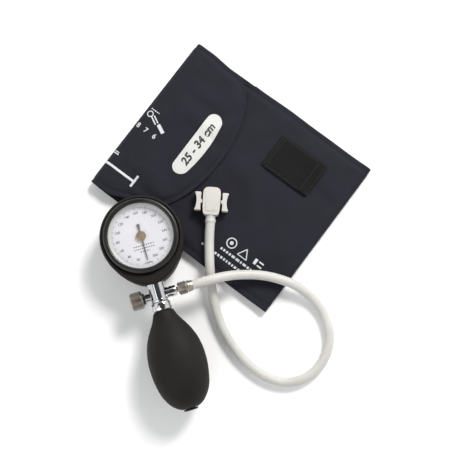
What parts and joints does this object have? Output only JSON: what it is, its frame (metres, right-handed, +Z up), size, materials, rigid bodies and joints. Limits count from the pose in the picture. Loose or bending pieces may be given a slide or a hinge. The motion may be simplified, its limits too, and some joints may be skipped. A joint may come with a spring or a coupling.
{
  "type": "upper arm blood pressure monitor",
  "caption": "Palm aneroid gauge on a valve block with squeeze bulb, release knob and hose to a squeeze-tab connector, lying beside a folded arm cuff.",
  "frame": {"origin": "centre of the bounding box's base, on the table, without the hose and its connector", "axes": "+Z up with the dial facing +Z, +Y from the bulb to the top of the gauge, +X towards the hose side"},
  "size_m": [0.2306, 0.2963, 0.0465],
  "materials": {
    "black_rubber": "matte moulded rubber",
    "black_plastic": "satin moulded plastic",
    "polished_chrome": "polished chrome plate",
    "brushed_nickel": "satin nickel plate",
    "brass": "turned and pressed brass",
    "phosphor_bronze": "thin spring bronze",
    "spring_steel": "bright steel",
    "grey_aluminium": "spun aluminium",
    "dial_enamel": "pale enamel with printed scale",
    "white_ring_plastic": "white plastic",
    "clear_lens": "clear lens",
    "off_white_hose": "off-white rubber hose",
    "connector_plastic": "warm white moulded plastic",
    "navy_nylon": "dark navy woven nylon",
    "black_webbing": "black ribbed webbing",
    "label_cloth": "off-white printed label",
    "grey_bladder_film": "grey soft film",
    "hook_tape": "hook tape"
  },
  "bodies": {
    "cuff": {"cuff_back_outer": "navy_nylon", "cuff_back_inner": "navy_nylon", "bladder": "grey_bladder_film", "cuff_fold_left": "navy_nylon", "cuff_fold_right": "navy_nylon", "cuff_front": "navy_nylon", "gauge_strap": "black_webbing", "port_flange": "grey_bladder_film", "port_seal": "black_plastic"},
    "flap": {"cuff_flap": "navy_nylon", "hook_panel": "hook_tape", "size_label": "label_cloth"},
    "port_spout": {"port_spout": "grey_bladder_film"},
    "handset": {"gauge_bumper": "black_rubber", "gauge_case": "grey_aluminium", "bezel_ring": "black_plastic", "lens": "clear_lens", "lens_gasket": "black_plastic", "dial_surround": "white_ring_plastic", "dial_plate": "dial_enamel", "case_screw_1": "spring_steel", "case_screw_2": "spring_steel", "case_screw_3": "spring_steel", "movement_base": "brass", "movement_plate": "brass", "movement_bridge": "brass", "capsule_post": "brass", "pressure_capsule": "phosphor_bronze", "hairspring": "phosphor_bronze", "gauge_stem": "polished_chrome", "valve_block": "polished_chrome", "bulb_collar": "polished_chrome", "bulb_nipple": "brass", "valve_bonnet": "brushed_nickel", "hose_port": "polished_chrome", "hose_barb": "brass", "hose_ferrule": "brushed_nickel", "squeeze_bulb": "black_rubber", "intake_plug": "brushed_nickel", "intake_retainer": "spring_steel", "air_hose": "off_white_hose", "connector_body": "connector_plastic", "connector_seal": "black_plastic", "connector_sleeve": "off_white_hose"},
    "pointer": {"pointer": "black_plastic", "pointer_hub": "brass", "pinion_arbor": "spring_steel"},
    "sector": {"sector_gear": "brass"},
    "rocking_shaft": {"rocking_shaft": "spring_steel"},
    "capsule_link": {"capsule_link": "spring_steel"},
    "valve_stem": {"valve_washer": "black_plastic"},
    "release_knob": {"release_knob": "brushed_nickel", "valve_spindle": "spring_steel"},
    "hose_nut": {"hose_nut": "brushed_nickel"},
    "tab_left": {"connector_tab_left": "connector_plastic"},
    "tab_right": {"connector_tab_right": "connector_plastic"},
    "intake_ball": {"intake_ball": "spring_steel"},
    "outlet_ball": {"outlet_ball": "spring_steel"}
  },
  "joints": [
    {"name": "handset_lift", "type": "slide", "parent": "cuff", "child": "handset", "axis": [0, 0, 1], "range_m": [0, 0.22]},
    {"name": "flap_open", "type": "hinge", "parent": "cuff", "child": "flap", "pos_m": [-0.0449, 0.09892, 0.00545], "axis": [-0.8023, -0.5969, 0], "range_deg": [0, 170], "deforming": ["cuff_fold_left"]},
    {"name": "port_swivel", "type": "hinge", "parent": "cuff", "child": "port_spout", "pos_m": [-0.0403, 0.06676, 0.0019], "axis": [0, 0, 1], "continuous": true},
    {"name": "pointer_spin", "type": "hinge", "parent": "handset", "child": "pointer", "pos_m": [-0.08148, -0.00128, 0.03], "axis": [0, 0, -1], "range_deg": [0, 340], "stiffness_Nm_per_rad": 0.00002},
    {"name": "sector_rock", "type": "hinge", "parent": "handset", "child": "sector", "pos_m": [-0.09278, -0.00588, 0.0283], "axis": [0, 0, 1], "range_deg": [0, 37.1]},
    {"name": "rocking_shaft_turn", "type": "hinge", "parent": "handset", "child": "rocking_shaft", "pos_m": [-0.08648, -0.00368, 0.0249], "axis": [1, 0, 0], "range_deg": [0, 20.5]},
    {"name": "capsule_rise", "type": "slide", "parent": "handset", "child": "capsule_link", "axis": [0, 0, 1], "range_m": [0, 0.00085], "deforming": ["pressure_capsule"]},
    {"name": "valve_travel", "type": "slide", "parent": "handset", "child": "valve_stem", "axis": [-1, 0, 0], "range_m": [0, 0.00142]},
    {"name": "knob_turn", "type": "hinge", "parent": "valve_stem", "child": "release_knob", "pos_m": [-0.09948, -0.04988, 0.0235], "axis": [-1, 0, 0], "range_deg": [0, 720]},
    {"name": "hose_nut_turn", "type": "hinge", "parent": "handset", "child": "hose_nut", "pos_m": [-0.06148, -0.04988, 0.0235], "axis": [1, 0, 0], "continuous": true},
    {"name": "tab_left_squeeze", "type": "hinge", "parent": "handset", "child": "tab_left", "pos_m": [-0.02577, 0.0151, 0.012], "axis": [0, 0, 1], "range_deg": [0, 8], "stiffness_Nm_per_rad": 0.02},
    {"name": "tab_right_squeeze", "type": "hinge", "parent": "handset", "child": "tab_right", "pos_m": [-0.01158, 0.00994, 0.012], "axis": [0, 0, -1], "range_deg": [0, 8], "stiffness_Nm_per_rad": 0.02},
    {"name": "intake_ball_lift", "type": "slide", "parent": "handset", "child": "intake_ball", "axis": [0, 1, 0], "range_m": [0, 0.001]},
    {"name": "outlet_ball_lift", "type": "slide", "parent": "handset", "child": "outlet_ball", "axis": [0, 1, 0], "range_m": [0, 0.001]}
  ],
  "couplings": [
    {"joint": "flap_open", "follows": "handset_lift", "rad_per_m": 13.48},
    {"joint": "pointer_spin", "follows": "capsule_rise", "rad_per_m": 6980},
    {"joint": "sector_rock", "follows": "capsule_rise", "rad_per_m": 759.4},
    {"joint": "rocking_shaft_turn", "follows": "capsule_rise", "rad_per_m": 418.8},
    {"joint": "knob_turn", "follows": "valve_travel", "rad_per_m": 8849}
  ]
}
